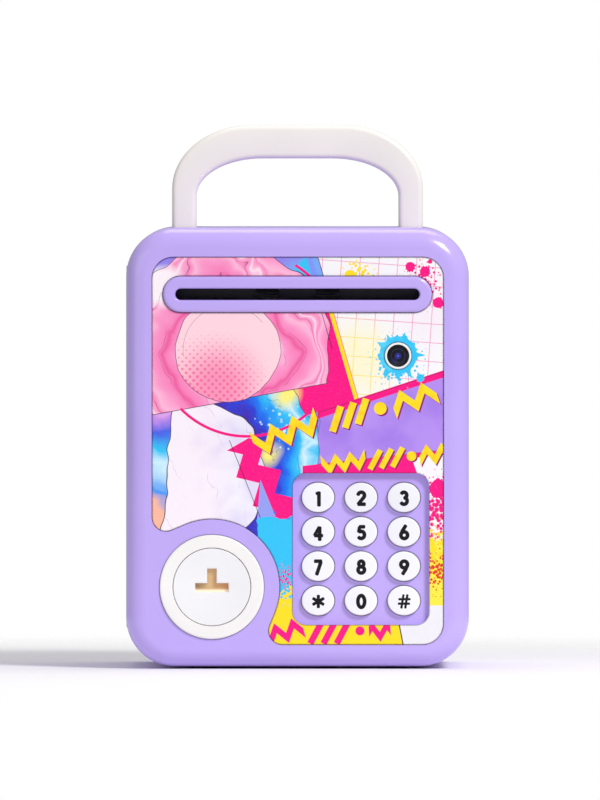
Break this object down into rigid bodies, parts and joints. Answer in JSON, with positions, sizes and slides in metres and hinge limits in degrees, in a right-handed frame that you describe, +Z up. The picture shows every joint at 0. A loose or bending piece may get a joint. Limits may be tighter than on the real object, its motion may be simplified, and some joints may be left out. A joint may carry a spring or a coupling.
{
  "type": "toy safe coin bank",
  "caption": "Toy money safe with a hinged keypad door, note slot with feed rollers, finger pad, hollow case and a folding carry handle.",
  "frame": {"origin": "middle of the footprint, on the surface that the rubber feet stand on", "axes": "+Z up, -Y towards the user in front of the door, +X to the user's right when facing the door"},
  "size_m": [0.135, 0.118, 0.2141],
  "materials": {
    "lilac_plastic": "glossy moulded ABS",
    "inner_plastic": "satin moulded ABS",
    "white_plastic": "glossy moulded ABS",
    "key_plastic": "smooth moulded keys",
    "printed_panel": "printed sheet under clear lacquer, abstract pattern",
    "lens_black": "polished black lens",
    "dark_plastic": "satin black moulding",
    "circuit_board": "solder resist",
    "silicone": "moulded silicone",
    "foot_rubber": "moulded rubber",
    "roller_rubber": "ground rubber",
    "pin_steel": "drawn steel rod",
    "plate_steel": "stamped steel",
    "screw_steel": "plated screws",
    "motor_can": "drawn steel can",
    "coil_copper": "wound copper coil",
    "contact_nickel": "nickel plated contacts",
    "cell_sleeve": "plain two-tone sleeve",
    "ribbon_grey": "flat grey cable",
    "led_clear": "clear epoxy lamp",
    "amber_guide": "translucent amber moulding",
    "gear_plastic": "acetal gears"
  },
  "bodies": {
    "case": {"rear_case": "lilac_plastic", "rubber_feet": "foot_rubber", "handle_pins": "pin_steel", "hinge_pins": "pin_steel", "latch_keeper": "plate_steel", "keeper_screws": "screw_steel"},
    "door": {"door_shell": "lilac_plastic", "picture_panel": "printed_panel", "slot_frame": "lilac_plastic", "pad_ring": "white_plastic", "lens_ring_trim": "white_plastic", "lens_glass": "lens_black", "camera_barrel": "dark_plastic", "camera_board": "circuit_board", "key_mat": "silicone", "keypad_board": "circuit_board", "pad_dome": "silicone", "pad_board": "circuit_board", "pad_led": "led_clear", "pad_switch": "dark_plastic", "main_board": "circuit_board", "board_chips": "dark_plastic", "board_screws": "screw_steel", "ribbon_cable": "ribbon_grey", "feed_frame": "dark_plastic", "feed_motor": "motor_can", "speaker": "dark_plastic", "latch_coil": "coil_copper", "battery_box": "dark_plastic", "battery_contacts": "contact_nickel", "aa_cells": "cell_sleeve", "battery_lid": "inner_plastic", "battery_screw": "screw_steel", "door_cover": "inner_plastic", "cover_screws": "screw_steel"},
    "handle": {"carry_handle": "white_plastic"},
    "finger_pad": {"finger_pad": "white_plastic", "light_guide": "amber_guide"},
    "feed_roller": {"feed_shaft": "pin_steel", "feed_gear": "gear_plastic", "feed_rollers": "roller_rubber"},
    "idler_roller": {"idler_shaft": "pin_steel", "idler_rollers": "roller_rubber"},
    "pinion": {"motor_shaft": "pin_steel", "motor_pinion": "gear_plastic"},
    "latch": {"latch_bolt": "plate_steel", "latch_plunger": "pin_steel"},
    "key_1": {"key_1": "key_plastic"},
    "key_2": {"key_2": "key_plastic"},
    "key_3": {"key_3": "key_plastic"},
    "key_4": {"key_4": "key_plastic"},
    "key_5": {"key_5": "key_plastic"},
    "key_6": {"key_6": "key_plastic"},
    "key_7": {"key_7": "key_plastic"},
    "key_8": {"key_8": "key_plastic"},
    "key_9": {"key_9": "key_plastic"},
    "key_star": {"key_star": "key_plastic"},
    "key_0": {"key_0": "key_plastic"},
    "key_hash": {"key_hash": "key_plastic"}
  },
  "joints": [
    {"name": "door_hinge", "type": "hinge", "parent": "case", "child": "door", "pos_m": [-0.0635, -0.0374, 0.0869], "axis": [0, 0, -1], "range_deg": [0, 105]},
    {"name": "handle_fold", "type": "hinge", "parent": "case", "child": "handle", "pos_m": [0, 0, 0.1688], "axis": [-1, 0, 0], "range_deg": [0, 90]},
    {"name": "pad_press", "type": "slide", "parent": "door", "child": "finger_pad", "axis": [0, 1, 0], "range_m": [0, 0.0015], "stiffness_N_per_m": 900, "springref_m": -0.0008},
    {"name": "roller_spin", "type": "hinge", "parent": "door", "child": "feed_roller", "pos_m": [0, -0.0442, 0.14125], "axis": [1, 0, 0], "continuous": true},
    {"name": "idler_spin", "type": "hinge", "parent": "door", "child": "idler_roller", "pos_m": [0, -0.0442, 0.15175], "axis": [1, 0, 0], "continuous": true},
    {"name": "pinion_spin", "type": "hinge", "parent": "door", "child": "pinion", "pos_m": [-0.054, -0.0442, 0.1286], "axis": [1, 0, 0], "continuous": true},
    {"name": "latch_slide", "type": "slide", "parent": "door", "child": "latch", "axis": [1, 0, 0], "range_m": [0, 0.0036]},
    {"name": "key_1_press", "type": "slide", "parent": "door", "child": "key_1", "axis": [0, 1, 0], "range_m": [0, 0.0012], "stiffness_N_per_m": 800, "springref_m": -0.0006},
    {"name": "key_2_press", "type": "slide", "parent": "door", "child": "key_2", "axis": [0, 1, 0], "range_m": [0, 0.0012], "stiffness_N_per_m": 800, "springref_m": -0.0006},
    {"name": "key_3_press", "type": "slide", "parent": "door", "child": "key_3", "axis": [0, 1, 0], "range_m": [0, 0.0012], "stiffness_N_per_m": 800, "springref_m": -0.0006},
    {"name": "key_4_press", "type": "slide", "parent": "door", "child": "key_4", "axis": [0, 1, 0], "range_m": [0, 0.0012], "stiffness_N_per_m": 800, "springref_m": -0.0006},
    {"name": "key_5_press", "type": "slide", "parent": "door", "child": "key_5", "axis": [0, 1, 0], "range_m": [0, 0.0012], "stiffness_N_per_m": 800, "springref_m": -0.0006},
    {"name": "key_6_press", "type": "slide", "parent": "door", "child": "key_6", "axis": [0, 1, 0], "range_m": [0, 0.0012], "stiffness_N_per_m": 800, "springref_m": -0.0006},
    {"name": "key_7_press", "type": "slide", "parent": "door", "child": "key_7", "axis": [0, 1, 0], "range_m": [0, 0.0012], "stiffness_N_per_m": 800, "springref_m": -0.0006},
    {"name": "key_8_press", "type": "slide", "parent": "door", "child": "key_8", "axis": [0, 1, 0], "range_m": [0, 0.0012], "stiffness_N_per_m": 800, "springref_m": -0.0006},
    {"name": "key_9_press", "type": "slide", "parent": "door", "child": "key_9", "axis": [0, 1, 0], "range_m": [0, 0.0012], "stiffness_N_per_m": 800, "springref_m": -0.0006},
    {"name": "key_star_press", "type": "slide", "parent": "door", "child": "key_star", "axis": [0, 1, 0], "range_m": [0, 0.0012], "stiffness_N_per_m": 800, "springref_m": -0.0006},
    {"name": "key_0_press", "type": "slide", "parent": "door", "child": "key_0", "axis": [0, 1, 0], "range_m": [0, 0.0012], "stiffness_N_per_m": 800, "springref_m": -0.0006},
    {"name": "key_hash_press", "type": "slide", "parent": "door", "child": "key_hash", "axis": [0, 1, 0], "range_m": [0, 0.0012], "stiffness_N_per_m": 800, "springref_m": -0.0006}
  ],
  "couplings": [
    {"joint": "pinion_spin", "follows": "roller_spin", "ratio": -2.5},
    {"joint": "idler_spin", "follows": "roller_spin", "ratio": -1.5}
  ]
}
